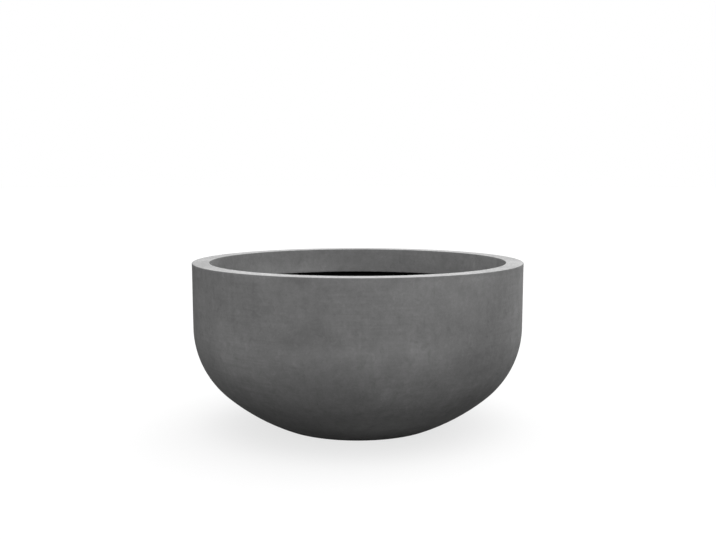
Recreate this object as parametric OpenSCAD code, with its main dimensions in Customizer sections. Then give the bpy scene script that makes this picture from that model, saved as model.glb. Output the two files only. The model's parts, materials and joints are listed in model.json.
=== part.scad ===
// Round bowl planter: a fibre-cement skin with a broad turned-in lip, backed inside by a
// dark glass-fibre liner, with a rubber drain plug and four pads under its foot ring.
// The origin is on the ground, under the centre of the bowl, with +Z up.

/* [Bowl] */
// Diameter across the rim, the widest part of the bowl
rim_d = 680; // [600:5:760]
// Height from the ground to the top of the rim
overall_h = 340; // [310:5:380]
// Width of the flat top of the rim
rim_w = 36; // [30:1:50]
// How far the lip hangs down inside the mouth
lip_drop = 54; // [30:1:80]
// Diameter of the flat that the bowl stands on
foot_d = 312; // [280:4:350]

/* [Outer curve] */
// Height of the upright band below the rim
band_h = 132; // [110:1:155]
// Lean of the upright band, in degrees, narrower downwards
band_draft = 0.4; // [0:0.1:1.5]
// Height above the foot flat that the shoulder's arc would come down to, if it ran on
shoulder_clear = 24; // [15:1:50]
// Radius of the belly, from the shoulder to the foot
belly_r = 410; // [350:1:480]
// Radius that rounds the belly into the foot
foot_edge_r = 32; // [24:1:40]

/* [Walls] */
// Thickness of the fibre-cement skin
skin_t = 8; // [6:0.5:10]
// Thickness of the cement under the top of the rim
rim_t = 10; // [8:0.5:14]
// Thickness of the cement in the base
base_t = 16; // [15:0.5:22]
// Thickness of the glass-fibre liner
liner_t = 3; // [2:0.25:4]
// Radius on the two edges of the rim
rim_edge_r = 1.5; // [1:0.5:5]
// Radius on the lower edge of the lip
lip_edge_r = 2; // [1:0.5:3]
// Radius of the corners in the hollow behind the lip
hollow_r = 6; // [4.5:0.5:7]
// Radius that rounds the belly into the inside floor, on the skin
floor_edge_r = 60; // [30:5:90]

/* [Drain] */
// Diameter of the drain hole
drain_d = 38; // [30:1:44]
// Diameter of the sump round the drain hole
sump_d = 100; // [84:1:130]
// Depth of the sump below the inside floor
sump_h = 5; // [4:0.5:7]
// Height of the recess under the base, inside the foot ring
recess_h = 4; // [3:0.5:5]
// Width of the foot ring
foot_ring_w = 46; // [40:1:60]

/* [Drain plug] */
// Diameter of the plug's flange
flange_d = 60; // [52:1:72]
// Thickness of the plug's flange
flange_t = 3; // [2:0.25:3.5]
// Clearance between the plug's ribs and the drain hole, on the radius
plug_gap = 0.2; // [0.1:0.05:0.4]
// Number of sealing ribs on the shank
rib_count = 3; // [2:1:4]
// How far each rib stands out of the shank
rib_h = 1; // [0.5:0.25:1.5]
// How far the shank reaches below the hole
plug_tail = 1.5; // [0.5:0.25:2.5]
// Draw-in of the shank towards its lower end, on the radius
shank_taper = 1; // [0.25:0.25:1.5]
// Least wall of the shank round the finger cup in its top
cup_wall = 2; // [1.5:0.25:3]
// Depth of the finger cup
cup_h = 9; // [7:0.5:10]
// Width of the bar across the finger cup
bar_w = 5; // [4:0.5:6]
// Height of the bar
bar_h = 4.5; // [3:0.5:5]

/* [Foot pads] */
// Diameter of a foot pad
pad_d = 34; // [24:1:38]
// Thickness of a foot pad
pad_t = 2; // [1.5:0.25:4]
// Chamfer on the lower edge of a foot pad
pad_chamfer = 0.5; // [0.25:0.25:1]

/* [Hidden] */

// Facets of a full turn, for the bowl and for the small pieces
bowl_fn = 180;
small_fn = 72;
// Largest turn between two points of a long curve, and of a small edge radius
curve_step = 2.5;
edge_step = 15;

// Heights, from the ground up
foot_z = pad_t;
recess_z = foot_z + recess_h;
floor_z = foot_z + base_t;
rim_z = overall_h;
lip_z = rim_z - lip_drop;
rim_under_z = rim_z - rim_t;
sump_z = floor_z + liner_t - sump_h;

// Radii from the bowl's axis
rim_r = rim_d / 2;
mouth_r = rim_r - rim_w;
foot_r = foot_d / 2;
recess_r = foot_r - foot_ring_w;
drain_r = drain_d / 2;
sump_r = sump_d / 2;
pad_place_r = foot_r - foot_ring_w / 2;

function dir(a) = [cos(a), sin(a)];
function angle_of(v) = atan2(v.y, v.x);
function reverse(list) = [for (i = [len(list) - 1 : -1 : 0]) list[i]];

// Points of an arc, from angle a1 to angle a2, both ends included
function arc(centre, r, a1, a2, step) =
    let (n = max(1, ceil(abs(a2 - a1) / step)))
    [for (i = [0 : n]) centre + r * dir(a1 + (a2 - a1) * i / n)];
// The same arc without its first point, to follow on from a curve that ends there
function arc_on(centre, r, a1, a2, step) =
    let (points = arc(centre, r, a1, a2, step))
    [for (i = [1 : len(points) - 1]) points[i]];

// The outer curve is a straight band and three arcs, each tangent to the next. The shoulder
// hangs from the foot of the band, with as large a radius as its clearance leaves it. The foot
// arc stands on the foot flat, and the belly's centre is where the belly touches both from
// outside.
band_foot = [rim_r - band_h * tan(band_draft), rim_z - band_h];
shoulder_r = band_foot.y - foot_z - shoulder_clear;
shoulder_c = band_foot - shoulder_r * dir(-band_draft);
foot_c = [foot_r, foot_z + foot_edge_r];
centre_span = foot_c - shoulder_c;
to_shoulder = belly_r - shoulder_r;
to_foot = belly_r - foot_edge_r;
span_len = norm(centre_span);
along = (to_shoulder ^ 2 - to_foot ^ 2 + span_len ^ 2) / (2 * span_len);
across = sqrt(to_shoulder ^ 2 - along ^ 2);
span_dir = centre_span / span_len;
belly_c = shoulder_c + along * span_dir + across * [span_dir.y, -span_dir.x];
belly_top_a = angle_of(shoulder_c - belly_c);
belly_low_a = angle_of(foot_c - belly_c);

// Inside, a smaller arc rounds the belly into the floor and touches them both
floor_edge_y = floor_z + floor_edge_r;
floor_edge_reach = belly_r - skin_t - floor_edge_r;
floor_edge_c = [belly_c.x + sqrt(floor_edge_reach ^ 2 - (belly_c.y - floor_edge_y) ^ 2), floor_edge_y];
floor_edge_a = angle_of(floor_edge_c - belly_c);

// Outer face of the skin, from the inner edge of the foot ring up to the mouth
function outer_face() = concat(
    [[recess_r, recess_z], [recess_r + recess_h, foot_z]],
    arc(foot_c, foot_edge_r, -90, belly_low_a, curve_step),
    arc_on(belly_c, belly_r, belly_low_a, belly_top_a, curve_step),
    arc_on(shoulder_c, shoulder_r, belly_top_a, -band_draft, curve_step),
    arc([rim_r - rim_edge_r, rim_z - rim_edge_r], rim_edge_r, 0, 90, edge_step));

// Face of the lip towards the mouth, from the top of the rim down to the lip's lower edge
function lip_face() = concat(
    arc([mouth_r + rim_edge_r, rim_z - rim_edge_r], rim_edge_r, 90, 180, edge_step),
    arc([mouth_r + lip_edge_r, lip_z + lip_edge_r], lip_edge_r, 180, 270, edge_step));

// The face where skin and liner meet, for t = 0, or the liner's own inside face, for
// t = liner_t: from the lip's lower edge up behind the lip, under the rim, down the wall
// and the belly, across the floor and down the sump to the drain hole
function inside_face(t) =
    let (inset = skin_t + t,
         corner_z = rim_under_z - hollow_r,
         lip_corner = [mouth_r + skin_t + hollow_r, corner_z],
         wall_x = shoulder_c.x
             + (shoulder_r - skin_t - hollow_r + (corner_z - shoulder_c.y) * sin(band_draft))
             / cos(band_draft),
         wall_corner = [wall_x, corner_z])
    concat(
        [[mouth_r + inset, lip_z]],
        arc(lip_corner, hollow_r - t, 180, 90, edge_step),
        arc(wall_corner, hollow_r - t, 90, -band_draft, edge_step),
        arc(shoulder_c, shoulder_r - inset, -band_draft, belly_top_a, curve_step),
        arc_on(belly_c, belly_r - inset, belly_top_a, floor_edge_a, curve_step),
        arc_on(floor_edge_c, floor_edge_r - t, floor_edge_a, -90, curve_step),
        [[sump_r - t, floor_z + t],
         [sump_r - t, floor_z + t - sump_h],
         [drain_r, floor_z + t - sump_h]]);

// Fibre-cement skin: the outside of the bowl, the rim and the lip, in one casting
module bowl_shell() color([0.52, 0.52, 0.53])
    rotate_extrude($fn = bowl_fn)
        polygon(concat([[drain_r, recess_z]], outer_face(), lip_face(), inside_face(0)));

// Glass-fibre liner laid against the back of the skin, up behind the lip to its lower edge
module inner_liner() color([0.03, 0.03, 0.035])
    rotate_extrude($fn = bowl_fn)
        polygon(concat(inside_face(0), reverse(inside_face(liner_t))));

// Ribbed rubber plug: its flange seats in the sump, and a bar spans its finger cup
module drain_plug() color([0.09, 0.09, 0.09]) {
    rib_r = drain_r - plug_gap;
    shank_r = rib_r - rib_h;
    tail_z = recess_z - plug_tail;
    top_z = sump_z + flange_t;
    shank_h = sump_z - tail_z;
    rib_pitch = shank_h / (rib_count + 1);
    edge = flange_t / 3;
    cup_r = shank_r - shank_taper - cup_wall;
    bar_len = 2 * cup_r + cup_wall;
    difference() {
        union() {
            rotate_extrude($fn = small_fn)
                polygon(concat(
                    [[0, tail_z], [shank_r - shank_taper, tail_z], [shank_r, sump_z],
                     [flange_d / 2, sump_z]],
                    arc([flange_d / 2 - edge, top_z - edge], edge, 0, 90, edge_step),
                    [[0, top_z]]));
            for (i = [1 : rib_count]) translate([0, 0, tail_z + i * rib_pitch])
                plug_rib(rib_r, rib_pitch / 2);
        }
        translate([0, 0, top_z - cup_h]) cylinder(r = cup_r, h = cup_h + 1, $fn = small_fn);
    }
    // The bar's ends run halfway into the wall of the cup
    translate([-bar_len / 2, -bar_w / 2, top_z - bar_h]) cube([bar_len, bar_w, bar_h]);
}

// One sealing rib: a saw-tooth ring, sloped below so that it slips into the hole
module plug_rib(r, h)
    rotate_extrude($fn = small_fn)
        polygon([[drain_r / 2, 0], [r - rib_h - shank_taper, 0], [r, h * 2 / 3], [r, h],
                 [drain_r / 2, h]]);

// Rubber pad stuck under the foot ring
module foot_pad(number) color([0.07, 0.07, 0.07])
    rotate([0, 0, 45 + 90 * (number - 1)]) translate([pad_place_r, 0, 0])
        rotate_extrude($fn = small_fn)
            polygon([[0, 0], [pad_d / 2 - pad_chamfer, 0], [pad_d / 2, pad_chamfer],
                     [pad_d / 2, pad_t], [0, pad_t]]);

bowl_shell();
inner_liner();
drain_plug();
foot_pad(1);  // foot_pad_1
foot_pad(2);  // foot_pad_2
foot_pad(3);  // foot_pad_3
foot_pad(4);  // foot_pad_4
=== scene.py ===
"""Looks of the round bowl planter, in metres and in the CAD frame: a cast cement skin, a dark glass-fibre
liner, a rubber drain plug and four rubber foot pads."""
import json
import math

import bpy
import numpy as np
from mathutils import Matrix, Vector, noise

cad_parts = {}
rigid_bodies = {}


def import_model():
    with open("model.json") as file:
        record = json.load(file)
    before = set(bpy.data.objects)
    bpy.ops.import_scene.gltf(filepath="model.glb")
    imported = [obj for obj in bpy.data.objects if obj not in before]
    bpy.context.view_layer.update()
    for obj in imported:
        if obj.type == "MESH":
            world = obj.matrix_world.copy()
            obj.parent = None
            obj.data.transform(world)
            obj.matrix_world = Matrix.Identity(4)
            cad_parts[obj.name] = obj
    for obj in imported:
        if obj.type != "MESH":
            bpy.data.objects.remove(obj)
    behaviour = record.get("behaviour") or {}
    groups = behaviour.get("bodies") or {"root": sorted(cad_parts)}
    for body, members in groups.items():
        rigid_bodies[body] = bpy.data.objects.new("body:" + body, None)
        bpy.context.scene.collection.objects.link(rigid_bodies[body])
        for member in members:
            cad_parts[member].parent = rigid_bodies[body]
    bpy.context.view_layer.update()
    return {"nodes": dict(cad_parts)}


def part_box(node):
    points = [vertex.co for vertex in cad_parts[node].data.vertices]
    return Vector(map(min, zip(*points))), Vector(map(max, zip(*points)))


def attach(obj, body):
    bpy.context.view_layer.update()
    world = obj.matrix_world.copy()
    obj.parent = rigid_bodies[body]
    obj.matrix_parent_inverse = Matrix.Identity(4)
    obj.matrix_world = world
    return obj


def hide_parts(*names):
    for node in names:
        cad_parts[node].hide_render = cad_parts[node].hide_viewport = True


for leftover in list(bpy.data.objects):
    bpy.data.objects.remove(leftover)

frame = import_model()

# ---------------------------------------------------------------- sizes taken from the frame

MM = 0.001
BOWL_LOW, BOWL_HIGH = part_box("bowl_shell")
RIM_R, RIM_Z, BASE_Z = BOWL_HIGH.x, BOWL_HIGH.z, BOWL_LOW.z
PLUG_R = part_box("drain_plug")[1].x

# ---------------------------------------------------------------- turned forms

# How near to the plane y = 0 a point on the seam lies, and the digits kept of its place in metres
SEAM_TOL = 1e-6
OUTLINE_DIGITS = 6
SEGMENTS = 288
SHARP_ANGLE = math.radians(38)
# The longest step from row to row, and a shorter one for the rows between these depths below the rim
ROW_STEP = 5 * MM
RIM_ROW_STEP = 1.5 * MM
RIM_ROWS_TOP, RIM_ROWS_END = 0.1 * MM, 8 * MM


def turned_outline(node):
    """The closed outline of (radius, height) points that a turned CAD node was spun from, in order.

    The node's mesh has a seam in the plane y = 0, whose edges are the outline. A flat, level face has no
    edge there, so its two ends, which share one height, are joined afterwards."""
    mesh = frame["nodes"][node].data
    on_seam = {}
    for v in mesh.vertices:
        if abs(v.co.y) < SEAM_TOL and v.co.x > SEAM_TOL:
            on_seam[v.index] = (round(v.co.x, OUTLINE_DIGITS), round(v.co.z, OUTLINE_DIGITS))
    links = {point: set() for point in on_seam.values()}

    def join(a, b):
        links[a].add(b)
        links[b].add(a)

    for edge in mesh.edges:
        a, b = (on_seam.get(i) for i in edge.vertices)
        if a and b and a != b:
            join(a, b)
    ends = sorted((p for p in links if len(links[p]) == 1), key=lambda p: (p[1], p[0]))
    for a, b in zip(ends[::2], ends[1::2]):
        join(a, b)
    outline = [min(links)]
    step = min(links[outline[0]])
    while step != outline[0]:
        outline.append(step)
        step = next(p for p in sorted(links[step]) if p != outline[-2])
    return outline


def spaced(outline):
    """The same closed outline, counter-clockwise, with points added until no step along it is too long."""
    points = []
    for a, b in zip(outline, outline[1:] + outline[:1]):
        by_rim = RIM_Z - RIM_ROWS_END < min(a[1], b[1]) < RIM_Z - RIM_ROWS_TOP
        count = max(1, math.ceil(math.dist(a, b) / (RIM_ROW_STEP if by_rim else ROW_STEP)))
        points += [
            (a[0] + (b[0] - a[0]) * i / count, a[1] + (b[1] - a[1]) * i / count) for i in range(count)
        ]
    area = sum(a[0] * b[1] - b[0] * a[1] for a, b in zip(points, points[1:] + points[:1]))
    return points if area > 0 else points[::-1]


def turn(name, outline, sink):
    """A smooth mesh of the outline turned about Z, linked into the scene.

    sink(point, normal, where) says how far a point lies under the outline. It gets the point's radius and
    height, the outline's normal there and the point's place in space."""
    rz = np.array(outline)
    along = np.roll(rz, -1, 0) - np.roll(rz, 1, 0)
    normal = np.stack([along[:, 1], -along[:, 0]], 1)
    normal /= np.linalg.norm(normal, axis=1)[:, None]
    rows = len(outline)
    verts, faces = [], []
    for k in range(SEGMENTS):
        c, s = math.cos(2 * math.pi * k / SEGMENTS), math.sin(2 * math.pi * k / SEGMENTS)
        for (r, z), n in zip(outline, normal):
            depth = sink((r, z), n, Vector((r * c, r * s, z)))
            sunk_r, sunk_z = r - n[0] * depth, z - n[1] * depth
            verts.append((sunk_r * c, sunk_r * s, sunk_z))
        here, there = k * rows, (k + 1) % SEGMENTS * rows
        faces += [(here + i, there + i, there + (i + 1) % rows, here + (i + 1) % rows) for i in range(rows)]
    mesh = bpy.data.meshes.new(name)
    mesh.from_pydata(verts, [], faces)
    mesh.shade_smooth()
    mesh.set_sharp_from_angle(angle=SHARP_ANGLE)
    piece = bpy.data.objects.new(name, mesh)
    bpy.context.scene.collection.objects.link(piece)
    return piece


def paint(piece, name, value):
    """Stores value(place) on every point of the piece, for its material to read."""
    layer = piece.data.attributes.new(name, "FLOAT", "POINT")
    layer.data.foreach_set("value", [value(v.co) for v in piece.data.vertices])


def ease(x, low, high):
    """0 below low, 1 above high, and smooth between them."""
    t = min(1.0, max(0.0, (x - low) / (high - low)))
    return t * t * (3 - 2 * t)


# ---------------------------------------------------------------- parts of node trees


def put(tree, kind, sockets=None, **settings):
    """Adds a node. sockets maps an input's name or number to a value, or to the output that feeds it."""
    made = tree.nodes.new("ShaderNode" + kind)
    for key, value in settings.items():
        setattr(made, key, value)
    for key, value in (sockets or {}).items():
        if isinstance(value, bpy.types.NodeSocket):
            tree.links.new(value, made.inputs[key])
        else:
            made.inputs[key].default_value = value
    return made


def empty_tree(owner):
    """The node tree of a material or a world, with nothing in it."""
    owner.use_nodes = True
    owner.node_tree.nodes.clear()
    return owner.node_tree


def new_material(name):
    """A material with nothing but its shader, as (material, tree, shader)."""
    material = bpy.data.materials.new(name)
    tree = empty_tree(material)
    shader = put(tree, "BsdfPrincipled")
    put(tree, "OutputMaterial", {"Surface": shader.outputs[0]})
    return material, tree, shader


def place(tree, stretch=(1, 1, 1)):
    """Object coordinates, in metres, multiplied along each axis."""
    coords = put(tree, "TexCoord").outputs["Object"]
    return put(tree, "Mapping", {"Vector": coords, "Scale": stretch}).outputs[0]


def grain(tree, where, scale, detail, roughness=0.55, distortion=0.0):
    """Noise from 0 to 1 about a half. scale is the number of its lumps to a metre."""
    made = put(tree, "TexNoise", {"Vector": where, "Scale": scale, "Detail": detail,
                                  "Roughness": roughness, "Distortion": distortion})
    return made.outputs[0]


def drawn_grain(tree, scales, detail, roughness=0.55, distortion=0.0):
    """Noise that has its own number of lumps to a metre along each axis."""
    return grain(tree, place(tree, scales), 1.0, detail, roughness, distortion)


def ranged(tree, value, start, end, smooth=False):
    """value taken from the range start to the range end, and held at both ends."""
    made = put(tree, "MapRange", {"Value": value, "From Min": start[0], "From Max": start[1],
                                  "To Min": end[0], "To Max": end[1]})
    made.interpolation_type = "SMOOTHSTEP" if smooth else "LINEAR"
    return made.outputs[0]


def swing(tree, value, reach, by):
    """A gain from 1 - by to 1 + by, while value goes from reach below a half to reach above it."""
    return ranged(tree, value, (0.5 - reach, 0.5 + reach), (1 - by, 1 + by))


def scaled(tree, value, top):
    """value from 0..1 taken to 0..top, and held at both ends."""
    return ranged(tree, value, (0, 1), (0, top))


def calc(tree, operation, *values):
    """The result of a Math node."""
    return put(tree, "Math", dict(enumerate(values)), operation=operation).outputs[0]


def chained(tree, operation, values):
    """The values joined one by one with the same operation."""
    result = values[0]
    for value in values[1:]:
        result = calc(tree, operation, result, value)
    return result


def product(tree, *values):
    """The values multiplied."""
    return chained(tree, "MULTIPLY", values)


def added(tree, *values):
    """The sum of the values."""
    return chained(tree, "ADD", values)


def painted(tree, name):
    """What paint() stored under that name."""
    return put(tree, "Attribute", attribute_name=name, attribute_type="GEOMETRY").outputs["Fac"]


# The smallest dot as a share of the largest, and how much of a dot's radius its soft edge takes
DOT_LEAST = 0.4
DOT_SOFT = 0.25


def dots(tree, where, scale, size, share):
    """1 inside scattered round dots and 0 outside. scale is the number of cells to a metre, size the largest
    radius in cells, and share the part of the cells that have a dot."""
    cells = put(tree, "TexVoronoi", {"Vector": where, "Scale": scale, "Randomness": 1.0})
    pick = put(tree, "SeparateColor", {"Color": cells.outputs["Color"]})
    chosen = calc(tree, "LESS_THAN", pick.outputs[0], share)
    radius = ranged(tree, pick.outputs[1], (0, 1), (size * DOT_LEAST, size))
    inside = calc(tree, "SUBTRACT", radius, cells.outputs["Distance"])
    return product(tree, ranged(tree, inside, (0, size * DOT_SOFT), (0, 1), smooth=True), chosen)


def feed(tree, shader, grey, rough, specular, relief, strength, depth):
    """Connects a grey, a roughness and a relief to the shader. The relief is a bump of that strength and
    depth, and the specular level is one number."""
    colour = put(tree, "CombineColor", {0: grey, 1: grey, 2: grey}).outputs[0]
    bump = put(tree, "Bump", {"Height": relief, "Strength": strength, "Distance": depth}).outputs[0]
    tree.links.new(colour, shader.inputs["Base Color"])
    tree.links.new(rough, shader.inputs["Roughness"])
    tree.links.new(bump, shader.inputs["Normal"])
    shader.inputs["Specular IOR Level"].default_value = specular


# ---------------------------------------------------------------- materials

# The body's grey, and the rim's paler grey, which is partly a ground face and partly painted top light and
# sheen
BODY_GREY = 0.22
RIM_GREY_WITH_TOP_LIGHT = 0.333
# How much darker or paler the level lines and the upright runs are
LINES_BY = 0.055
STREAKS_BY = 0.05


def cement():
    """Grey cast cement: mottles and spots, level lines and upright runs, sand, pin holes, painted light and
    shade, and a pale rim that is partly a ground face and partly painted top light and sheen.
    """
    material, tree, shader = new_material("cement_finish")
    here = place(tree)

    # Noises, from clouds a quarter of a metre wide down to grains of sand
    cloud = grain(tree, here, 4.0, detail=4)
    patch = grain(tree, here, 17.0, detail=4, roughness=0.6, distortion=0.3)
    blot = grain(tree, here, 46.0, detail=2, roughness=0.5)
    spot = drawn_grain(tree, (61.0, 61.0, 52.0), detail=1, roughness=0.5, distortion=0.8)
    mottle = grain(tree, here, 115.0, detail=2, roughness=0.5, distortion=0.8)
    speck = grain(tree, here, 270.0, detail=2, roughness=0.5)
    sand = grain(tree, here, 1000.0, detail=4, roughness=0.72)

    # Level lines and upright runs, each in patches of their own
    level = drawn_grain(tree, (11.0, 11.0, 210.0), detail=3, roughness=0.6)
    lined = ranged(tree, grain(tree, here, 6.0, detail=2), (0.42, 0.62), (0.1, 1.0))
    lines = product(tree, lined, ranged(tree, level, (0.3, 0.7), (-LINES_BY, LINES_BY)))
    runs = drawn_grain(tree, (80.0, 80.0, 6.0), detail=3, roughness=0.6)
    streaked = ranged(tree, drawn_grain(tree, (7.0, 7.0, 2.0), detail=2), (0.48, 0.62), (0.0, 1.0))
    streaks = product(tree, streaked, ranged(tree, runs, (0.3, 0.7), (-STREAKS_BY, STREAKS_BY)))

    # Pin holes, pits, and the dark grains that show where the rim is ground flat
    holes = dots(tree, here, 55.0, size=0.06, share=0.35)
    pits = dots(tree, here, 170.0, size=0.09, share=0.6)
    pepper = dots(tree, here, 420.0, size=0.4, share=0.7)

    # The last factor of tone is what shade() painted: marks, painted light and shade, and a painted contact
    # shadow
    tone = product(
        tree,
        swing(tree, cloud, 0.2, by=0.05),
        swing(tree, patch, 0.2, by=0.07),
        swing(tree, blot, 0.25, by=0.06),
        ranged(tree, spot, (0.60, 0.78), (1.0, 0.90), smooth=True),
        ranged(tree, spot, (0.24, 0.38), (1.08, 1.0), smooth=True),
        swing(tree, mottle, 0.25, by=0.06),
        swing(tree, speck, 0.25, by=0.045),
        swing(tree, sand, 0.2, by=0.08),
        added(tree, lines, 1.0),
        added(tree, streaks, 1.0),
        painted(tree, "shade"),
    )
    ground = product(
        tree,
        swing(tree, speck, 0.2, by=0.10),
        swing(tree, mottle, 0.2, by=0.07),
        ranged(tree, pepper, (0, 1), (1.02, 0.80)),
    )
    # The rim's flat and, in patches, its worn edges take the rim's grey, partly a ground face and partly
    # painted top light and sheen
    worn = product(tree, painted(tree, "worn"), patch)
    rim_and_top_light_share = scaled(tree, added(tree, painted(tree, "rim"), worn), 1)
    body_grey = product(tree, tone, BODY_GREY)
    rim_grey_with_top_light = product(tree, tone, ground, RIM_GREY_WITH_TOP_LIGHT)
    grey = product(
        tree,
        put(tree, "Mix", {"Factor": rim_and_top_light_share, "A": body_grey, "B": rim_grey_with_top_light}).outputs[0],
        ranged(tree, holes, (0, 1), (1.0, 0.5)),
        ranged(tree, pits, (0, 1), (1.0, 0.72)),
    )
    relief = added(
        tree,
        scaled(tree, sand, 0.20),
        scaled(tree, speck, 0.14),
        scaled(tree, level, 0.10),
        scaled(tree, blot, 0.5),
        scaled(tree, pits, -0.4),
        scaled(tree, holes, -1.0),
    )
    rough = ranged(tree, added(tree, patch, sand), (0.6, 1.4), (0.78, 0.95))
    feed(tree, shader, grey, rough, specular=0.018, relief=relief, strength=0.8, depth=0.8 * MM)
    return material


# The ways that the mat's strands lie, as turns about X, Y and Z in degrees
STRAND_TURNS = ((0, 0, 5), (0, 0, 48), (0, 0, 96), (0, 0, 137), (0, 62, 20), (70, 0, 70), (48, 40, 0))
# How many of them there are to a metre, along one and across it, and how far they bend aside
STRAND_SCALE = (24, 420, 420)
STRAND_SWAY = 12 * MM


def glass_fibre():
    """Black resin over chopped strand mat: strands lying all ways show through as low relief."""
    material, tree, shader = new_material("liner_finish")
    coords = put(tree, "TexCoord").outputs["Object"]
    bend = put(tree, "TexNoise", {"Vector": coords, "Scale": 14.0, "Detail": 1.0}).outputs["Color"]
    sway = put(tree, "VectorMath", {0: bend, 1: (STRAND_SWAY,) * 3}, operation="MULTIPLY").outputs[0]
    swayed = put(tree, "VectorMath", {0: coords, 1: sway}, operation="ADD").outputs[0]
    strands = []
    for turns in STRAND_TURNS:
        faced = put(tree, "Mapping", {"Vector": swayed, "Rotation": tuple(math.radians(a) for a in turns)})
        drawn = put(tree, "Mapping", {"Vector": faced.outputs[0], "Scale": STRAND_SCALE})
        strand = grain(tree, drawn.outputs[0], 1.0, detail=1, roughness=0.5)
        strands.append(ranged(tree, strand, (0.57, 0.72), (0, 1), smooth=True))
    mat = chained(tree, "MAXIMUM", strands)
    lumps = grain(tree, coords, 30.0, detail=3, roughness=0.5)
    pores = grain(tree, coords, 700.0, detail=2, roughness=0.6)
    grey = product(
        tree,
        ranged(tree, lumps, (0.3, 0.7), (0.0075, 0.0125)),
        swing(tree, pores, 0.2, by=0.15),
        ranged(tree, mat, (0, 1), (0.85, 1.75)),
    )
    relief = added(tree, mat, scaled(tree, lumps, 2.5))
    rough = ranged(tree, added(tree, lumps, mat), (0.4, 1.4), (0.5, 0.75))
    feed(tree, shader, grey, rough, specular=0.1, relief=relief, strength=0.8, depth=0.5 * MM)
    return material


def rubber(name, grey_low, grey_high):
    """Moulded rubber with a patchy bloom, pale dust specks and a fine matt grain."""
    material, tree, shader = new_material(name)
    here = place(tree)
    bloom = grain(tree, here, 90.0, detail=4, roughness=0.65)
    fine = grain(tree, here, 2400.0, detail=2, roughness=0.5)
    dust = dots(tree, here, 700.0, size=0.3, share=0.25)
    grey = product(
        tree,
        ranged(tree, bloom, (0.3, 0.7), (grey_low, grey_high)),
        swing(tree, fine, 0.2, by=0.15),
        ranged(tree, dust, (0, 1), (1.0, 1.8)),
    )
    relief = added(tree, fine, scaled(tree, bloom, 3.0))
    rough = ranged(tree, added(tree, bloom, fine), (0.6, 1.4), (0.5, 0.72))
    feed(tree, shader, grey, rough, specular=0.4, relief=relief, strength=0.6, depth=0.1 * MM)
    return material


WELD_TOL = 0.01 * MM


def dress(node, material):
    """Gives a CAD node its finish, with its faces welded into one smooth skin."""
    shown = frame["nodes"][node]
    shown.data.materials.clear()
    shown.data.materials.append(material)
    shown.modifiers.new("weld", "WELD").merge_threshold = WELD_TOL


# ---------------------------------------------------------------- the bowl's shapes

# The radius of the rim's two edges, and how far apart two heights may be that count as one
EDGE_R = 1.5 * MM
LEVEL_TOL = 0.01 * MM
# How deep the waves in the two free faces are at most, how many of the broad and of the small ones there are
# to a metre, and their strength
SKIN_SINK, SKIN_WAVES, SKIN_STRENGTH = 0.5 * MM, (5.0, 13.0), 0.45
LINER_SINK, LINER_WAVES, LINER_STRENGTH = 0.6 * MM, (22.0, 60.0), 0.5
# The outline's normal tells the faces apart: the skin's outside looks out, and the liner's free face looks
# in or up
LOOKS_OUT, LOOKS_IN, LOOKS_UP = 0.2, -0.05, 0.5
# The skin stays true this far above the base. Its waves fade in up to a second height, and out towards the
# rim between two depths below it
FOOT_TRUE, FOOT_FADE = 1.5 * MM, 20 * MM
RIM_FADE = (2 * MM, 12 * MM)
# The liner's waves end below the rim. Round the sump they fade in between two multiples of the plug's radius
LINER_TOP = 15 * MM
SUMP_FADE = (2.2, 3.2)


def waves(where, scales, strength):
    """Waves from 0 to 1 about a half, the second kind half as high as the first."""
    swell = noise.noise(where * scales[0]) + 0.5 * noise.noise(where * scales[1])
    return min(1.0, max(0.0, 0.5 + strength * swell))


def skin_sink(point, normal, where):
    """The outside of the casting wanders a little under its true form."""
    z = point[1]
    if not (normal[0] > LOOKS_OUT and z > BASE_Z + FOOT_TRUE):
        return 0.0
    fade = ease(z, BASE_Z, BASE_Z + FOOT_FADE) * ease(RIM_Z - z, *RIM_FADE)
    return SKIN_SINK * fade * waves(where, SKIN_WAVES, SKIN_STRENGTH)


def liner_sink(point, normal, where):
    """The laminate's free face is lumpy, apart from the sump where the plug seats."""
    r, z = point
    free = normal[0] < LOOKS_IN or normal[1] > LOOKS_UP
    if not free or z > RIM_Z - LINER_TOP:
        return 0.0
    fade = ease(r, SUMP_FADE[0] * PLUG_R, SUMP_FADE[1] * PLUG_R)
    return LINER_SINK * fade * waves(where, LINER_WAVES, LINER_STRENGTH)


shell_outline = turned_outline("bowl_shell")
liner_outline = turned_outline("inner_liner")
RIM_IN_R = min(r for r, z in shell_outline if z > RIM_Z - LEVEL_TOL) - EDGE_R
FOOT_R = max(r for r, z in shell_outline if z < BASE_Z + LEVEL_TOL)

shell = turn("cast_skin", spaced(shell_outline), skin_sink)
liner = turn("fibre_liner", spaced(liner_outline), liner_sink)

# ---------------------------------------------------------------- the bowl's finish

# The pale rim, partly a ground face and partly painted top light and sheen, ends this share of its edges'
# radius below the flat
RIM_PALE_AND_LIT_DEPTH = 0.05
# How much of the rim's pale grey shows where its edges are worn, and how far in and down the wear reaches
WEAR = 0.15
WEAR_REACH = 4 * MM
# How much darker the rim's rounded edges are painted than the faces beside them, a painted shade that keeps
# them from catching as much light, and where that comes and goes, in shares of their radius below the flat
EDGE_SHADE = 0.28
EDGE_SHADE_IN, EDGE_SHADE_OUT = (0, 0.3), (0.6, 1.2)
# How much darker the edge of the foot is painted, a painted contact shadow where the bowl meets the floor,
# how far inside the foot's radius that starts, and the heights above the base between which it fades out
FOOT_SHADOW = 0.5
FOOT_SHADOW_IN = 3 * MM
FOOT_SHADOW_OUT = (1 * MM, 13 * MM)
# The face of the lip lies this near to the mouth's radius, in the upper half of the bowl
LIP_NEAR = 2 * EDGE_R
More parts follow.
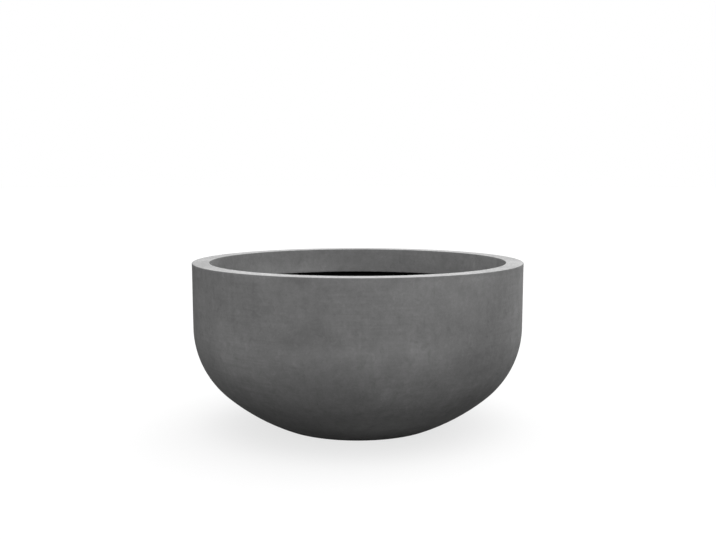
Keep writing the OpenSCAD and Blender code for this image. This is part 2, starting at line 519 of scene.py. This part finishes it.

# Paler and darker patches on the cement: degrees to the right of the camera, height in mm, half-widths of
# both, and how much paler or darker. The small ones are marks in the cement. Most broad ones are painted
# light and shade: painted light low on the front of the belly, up the right side and along the front of the
# rim, and painted shade low on the belly's sides and down the left side. Rows 1 to 3 and 5 to 9 are what a
# fitting program gave for the photograph's tones, and the others were set one by one
TONES_AND_PAINTED_LIGHT = (
    (30, 312, 22, 26, 0.15),
    (42, 192, 8, 40, -0.17),
    (12, 48, 14, 16, 0.23),
    (3, 43, 24, 16, 0.10),
    (-42, 180, 8, 26, 0.13),
    (-48, 60, 14, 40, -0.15),
    (12, 204, 8, 40, 0.07),
    (-18, 228, 8, 16, -0.11),
    (48, 84, 8, 26, -0.13),
    (-80, 260, 9, 80, -0.19),
    (77, 303, 8, 42, 0.17),
    (63, 302, 4, 26, 0.07),
    (52, 295, 2.5, 32, -0.07),
    (-18, 331, 1.4, 5, -0.17),
    (-15, 235, 1, 4, -0.11),
    (-7, 236, 1, 4, -0.09),
    (6.5, 243, 1.5, 4, -0.09),
    (4.5, 262, 0.9, 30, -0.05),
    (4.8, 178, 0.9, 30, -0.06),
    (8.7, 129, 1.5, 9, 0.11),
    (-34, 160, 2, 10, 0.08),
    (-24, 341, 18, 1.5, 0.20),
    (30, 341, 20, 1.5, 0.06),
    (40, 331, 14, 5, 0.20),
    (-31, 332, 7, 4, 0.12),
    (-2, 332, 6, 4, 0.14),
)
# The same for the face of the lip inside the bowl
LIP_SHADES = (
    (-136, 292, 8, 16, 0.42),
    (104, 322, 16, 26, 0.32),
    (150, 312, 8, 30, -0.05),
    (-161, 294, 9, 9, 0.25),
    (166, 302, 7, 8, -0.06),
)


def pale_and_top_lit_rim(v):
    """1 on the rim's flat, ground paler and painted with top light and sheen, and 0 from the top of its
    rounded edges down.
    """
    return ease(v.z, RIM_Z - RIM_PALE_AND_LIT_DEPTH * EDGE_R, RIM_Z)


def worn_edges(v):
    """Wear on the rim's two edges and down over them."""
    point = math.hypot(v.x, v.y), v.z
    near = min(math.dist(point, (edge_r, RIM_Z)) for edge_r in (RIM_R, RIM_IN_R))
    return WEAR * ease(-near, -WEAR_REACH, 0)


def shade(v):
    """How much paler or darker a point is painted: marks, painted light and shade, painted contact shadow."""
    aside, up, r = math.degrees(math.atan2(v.x, -v.y)), v.z / MM, math.hypot(v.x, v.y)
    on_lip = r < RIM_IN_R + LIP_NEAR and RIM_Z / 2 < v.z < RIM_Z - EDGE_R
    gain = 1.0
    for centre, height, wide, tall, by in LIP_SHADES if on_lip else TONES_AND_PAINTED_LIGHT:
        off = (aside - centre + 180) % 360 - 180
        gain += by * math.exp(-0.5 * ((off / wide) ** 2 + ((up - height) / tall) ** 2))
    below = (RIM_Z - v.z) / EDGE_R
    # Painted shade on the rim's rounded edges
    on_shaded_edge = ease(below, *EDGE_SHADE_IN) * (1 - ease(below, *EDGE_SHADE_OUT))
    # A painted contact shadow round the foot's edge
    in_foot_shadow = ease(r, FOOT_R - FOOT_SHADOW_IN, FOOT_R) * (1 - ease(v.z - BASE_Z, *FOOT_SHADOW_OUT))
    return gain * (1 - EDGE_SHADE * on_shaded_edge) * (1 - FOOT_SHADOW * in_foot_shadow)


paint(shell, "rim", pale_and_top_lit_rim)
paint(shell, "worn", worn_edges)
paint(shell, "shade", shade)
shell.data.materials.append(cement())
liner.data.materials.append(glass_fibre())

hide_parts("bowl_shell")
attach(shell, "bowl")
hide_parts("inner_liner")
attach(liner, "bowl")

dress("drain_plug", rubber("plug_finish", grey_low=0.014, grey_high=0.03))
pad_rubber = rubber("pad_finish", grey_low=0.014, grey_high=0.022)
for number in (1, 2, 3, 4):
    dress(f"foot_pad_{number}", pad_rubber)

# ---------------------------------------------------------------- floor and light

WHITE = (1, 1, 1, 1)
FLOOR_R = 30.0
FLOOR_Z = -0.1 * MM
FLOOR_SIDES = 64
# The floor's grey under the lights and the glow added to it where it is seen, and its grey where it only
# throws light back
FLOOR_GREY = 0.2
FLOOR_GLOW = 0.74
FLOOR_BOUNCE = 0.09
# Soft lights round the bowl: degrees to the right of the camera, degrees up, tightness, strength. The
# directions and the strengths follow what a fitting program gave for the photograph's tones
SOFTBOXES = (
    (0, 90, 5, 2.27),
    (0, 65, 12, 0.9),
    (0, 20, 12, 2.16),
    (90, 40, 5, 1.29),
    (-90, 5, 5, 0.95),
    (145, 10, 25, 6.9),
    (180, 40, 5, 1.13),
)


def seen(tree):
    """1 for rays that show the background itself: camera, glossy and transmission rays."""
    path = put(tree, "LightPath").outputs
    kinds = ("Is Camera Ray", "Is Glossy Ray", "Is Transmission Ray")
    return chained(tree, "MAXIMUM", [path[kind] for kind in kinds])


def make_floor():
    """A pale floor: white where it is seen, with the shadow kept, and dark where it only sends light back."""
    mesh = bpy.data.meshes.new("floor")
    angles = np.linspace(0, 2 * math.pi, FLOOR_SIDES, False)
    ring = [(FLOOR_R * math.cos(a), FLOOR_R * math.sin(a), FLOOR_Z) for a in angles]
    mesh.from_pydata(ring, [], [tuple(range(FLOOR_SIDES))])
    floor = bpy.data.objects.new("floor", mesh)
    bpy.context.scene.collection.objects.link(floor)
    material = bpy.data.materials.new("floor_paper")
    tree = empty_tree(material)
    lit = put(tree, "BsdfDiffuse", {"Color": (FLOOR_GREY,) * 3 + (1,)})
    glow = put(tree, "Emission", {"Color": WHITE, "Strength": FLOOR_GLOW})
    pale = put(tree, "AddShader", {0: lit.outputs[0], 1: glow.outputs[0]})
    dark = put(tree, "BsdfDiffuse", {"Color": (FLOOR_BOUNCE,) * 3 + (1,)})
    both = put(tree, "MixShader", {0: seen(tree), 1: dark.outputs[0], 2: pale.outputs[0]})
    put(tree, "OutputMaterial", {"Surface": both.outputs[0]})
    mesh.materials.append(material)


def make_world():
    """A dark dome with soft lights in it, that shows as plain white."""
    world = bpy.data.worlds.new("studio")
    bpy.context.scene.world = world
    tree = empty_tree(world)
    where = put(tree, "TexCoord").outputs["Generated"]
    glows = []
    for aside, up, tightness, strength in SOFTBOXES:
        aside, up = math.radians(aside), math.radians(up)
        towards = (math.sin(aside) * math.cos(up), -math.cos(aside) * math.cos(up), math.sin(up))
        near = put(tree, "VectorMath", {0: where, 1: towards}, operation="DOT_PRODUCT").outputs["Value"]
        falloff = product(tree, calc(tree, "SUBTRACT", near, 1), tightness)
        glows.append(product(tree, calc(tree, "EXPONENT", falloff), strength))
    dome = put(tree, "Background", {"Color": WHITE, "Strength": added(tree, *glows)})
    white = put(tree, "Background", {"Color": WHITE, "Strength": 1.0})
    both = put(tree, "MixShader", {0: seen(tree), 1: dome.outputs[0], 2: white.outputs[0]})
    put(tree, "OutputWorld", {"Surface": both.outputs[0]})


make_floor()
make_world()

# ---------------------------------------------------------------- camera

# The photograph's view: its width and half the rim's width in pixels, the lens, and in degrees how far the
# eye is above the level of the rim and how far below and beside the rim's centre it looks
PHOTO_W = 716
RIM_HALF_PX = 166.05
LENS_MM, SENSOR_MM = 50.0, 36.0
EYE_ELEVATION = 5.132
AIM_BELOW = 0.541
AIM_ASIDE = 0.017

focal_px = LENS_MM / SENSOR_MM * PHOTO_W
distance = RIM_R * math.hypot(1, focal_px / RIM_HALF_PX)
elevation = math.radians(EYE_ELEVATION)
lens = bpy.data.cameras.new("eye")
lens.lens = LENS_MM
lens.sensor_width = SENSOR_MM
lens.clip_end = 2 * FLOOR_R
eye = bpy.data.objects.new("eye", lens)
eye.location = Vector((0, 0, RIM_Z)) + distance * Vector((0, -math.cos(elevation), math.sin(elevation)))
eye.rotation_euler = (math.radians(90 - EYE_ELEVATION - AIM_BELOW), 0, math.radians(-AIM_ASIDE))
bpy.context.scene.collection.objects.link(eye)
bpy.context.scene.camera = eye

bpy.context.scene.view_settings.view_transform = "Standard"
